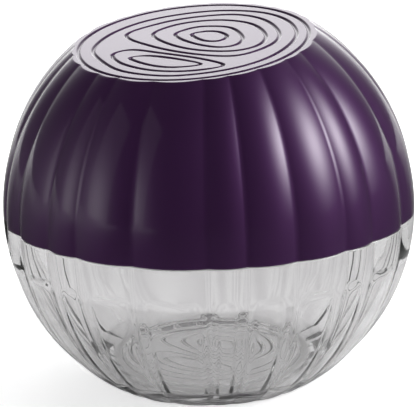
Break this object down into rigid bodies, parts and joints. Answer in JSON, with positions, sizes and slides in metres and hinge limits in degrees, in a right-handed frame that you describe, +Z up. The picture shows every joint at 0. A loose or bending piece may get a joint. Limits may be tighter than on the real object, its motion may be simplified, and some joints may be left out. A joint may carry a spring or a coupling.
{
  "type": "onion keeper",
  "caption": "Round fluted keeper for a cut onion: clear bowl with a round neck, and an opaque dome lid with a slanted flat top cut with onion rings, which lifts off.",
  "frame": {"origin": "centre of the flat foot, on the surface that the keeper stands on", "axes": "+Z up, the way the lid lifts; the slanted flat top leans towards -X and -Y; -Y is the side that the picture shows"},
  "size_m": [0.119, 0.119, 0.1043],
  "materials": {
    "lid_plastic": "glossy moulded, deep aubergine purple",
    "clear_plastic": "clear moulded, water white"
  },
  "bodies": {
    "base": {"base": "clear_plastic"},
    "lid": {"lid": "lid_plastic"}
  },
  "joints": [
    {"name": "lid_lift", "type": "slide", "parent": "base", "child": "lid", "axis": [0, 0, 1], "range_m": [0, 0.12]}
  ]
}
